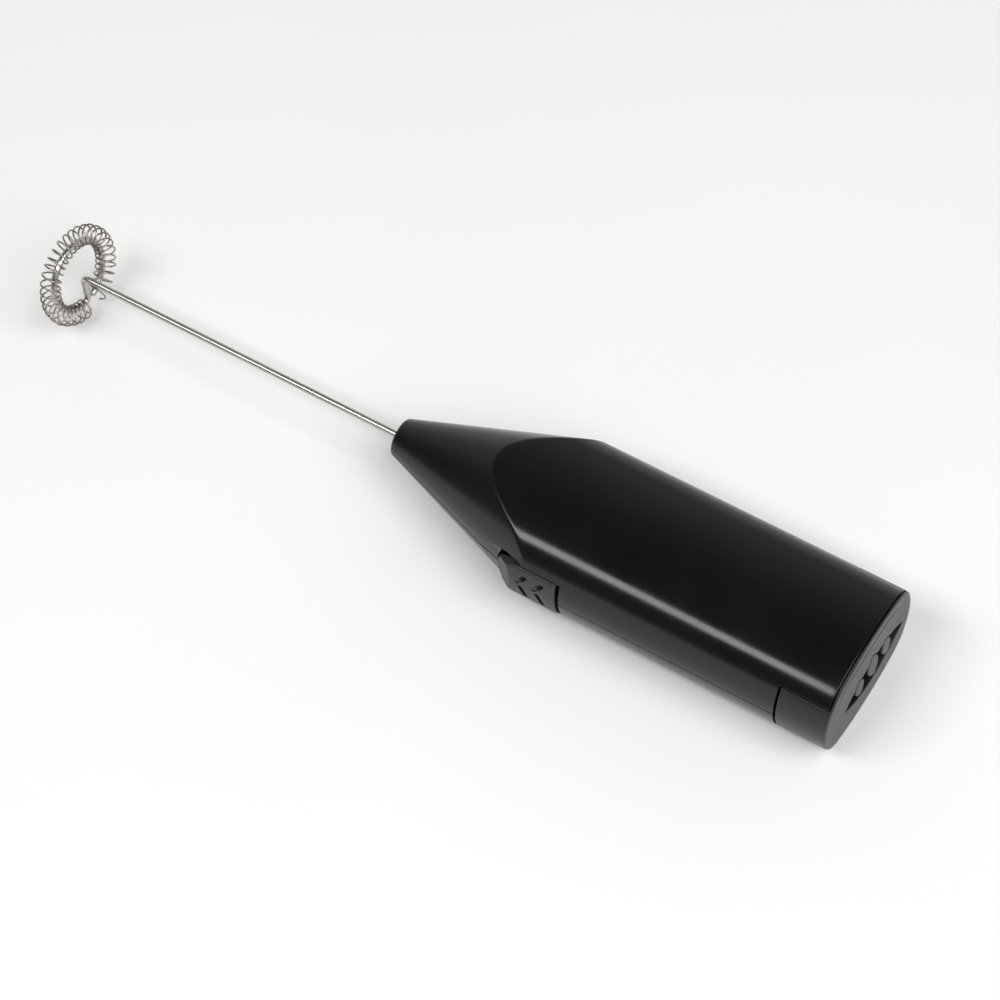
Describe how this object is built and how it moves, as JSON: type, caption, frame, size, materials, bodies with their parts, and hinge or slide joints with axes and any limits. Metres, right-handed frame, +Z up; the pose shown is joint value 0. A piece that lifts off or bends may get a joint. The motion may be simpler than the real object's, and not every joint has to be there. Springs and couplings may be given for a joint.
{
  "type": "milk frother",
  "caption": "Slim black handheld milk frother with a flat-sided tapering handle, slide switch, pull-off battery cap and coiled-wire whisk ring on a straight shaft.",
  "frame": {"origin": "on the surface the frother lies on, under the middle of its length, on the shaft's centre line seen from above", "axes": "+X runs along the shaft from the end cap to the whisk, +Z is up from the broad back face that it lies on to the broad front face, and the slide switch is on the +Y narrow side"},
  "size_m": [0.1976, 0.036, 0.025],
  "materials": {
    "shell_plastic": "satin-gloss black ABS",
    "cap_plastic": "satin black ABS",
    "switch_plastic": "fine matte black ABS",
    "sheet_metal": "nickel-plated strip",
    "spring_steel": "nickel-plated wire",
    "bridge_brass": "brass strip",
    "carrier_plastic": "natural nylon",
    "cell_jacket": "printed metal jacket, plain",
    "can_steel": "zinc-plated pressed steel",
    "bell_plastic": "white nylon",
    "magnet": "sintered ferrite",
    "brush_copper": "beryllium copper and carbon",
    "bearing_bronze": "oiled sintered bronze",
    "lamination_steel": "stacked laminations",
    "winding_copper": "enamelled copper",
    "shaft_steel": "ground steel",
    "coupling_plastic": "white acetal",
    "lead_pvc": "black PVC insulation",
    "whisk_steel": "bright stainless wire"
  },
  "bodies": {
    "handle": {"front_shell": "shell_plastic", "back_shell": "shell_plastic", "contact_carrier": "carrier_plastic", "positive_contact": "sheet_metal", "negative_contact": "sheet_metal", "motor_contact": "sheet_metal", "front_spring": "spring_steel", "motor_can": "can_steel", "motor_end_bell": "bell_plastic", "motor_magnets": "magnet", "motor_brushes": "brush_copper", "motor_terminals": "bridge_brass", "front_bearing": "bearing_bronze", "rear_bearing": "bearing_bronze", "nose_bush": "bearing_bronze", "negative_lead": "lead_pvc"},
    "cap": {"end_cap": "cap_plastic", "cap_bridge": "sheet_metal", "cap_spring": "spring_steel"},
    "cells": {"battery_a": "cell_jacket", "battery_b": "cell_jacket"},
    "switch": {"slide_switch": "switch_plastic", "switch_contact": "bridge_brass"},
    "whisk": {"rotor_core": "lamination_steel", "rotor_windings": "winding_copper", "commutator": "brush_copper", "motor_shaft": "shaft_steel", "shaft_coupling": "coupling_plastic", "whisk_wire": "whisk_steel", "whisk_coil": "whisk_steel"}
  },
  "joints": [
    {"name": "whisk_spin", "type": "hinge", "parent": "handle", "child": "whisk", "pos_m": [0, 0, 0.0125], "axis": [1, 0, 0], "continuous": true},
    {"name": "switch_slide", "type": "slide", "parent": "handle", "child": "switch", "axis": [1, 0, 0], "range_m": [0, 0.0025]},
    {"name": "cap_pull", "type": "slide", "parent": "handle", "child": "cap", "axis": [-1, 0, 0], "range_m": [0, 0.075]},
    {"name": "cells_slide", "type": "slide", "parent": "handle", "child": "cells", "axis": [-1, 0, 0], "range_m": [0, 0.0605]}
  ],
  "couplings": [
    {"joint": "cells_slide", "follows": "cap_pull", "ratio": 0.8}
  ]
}
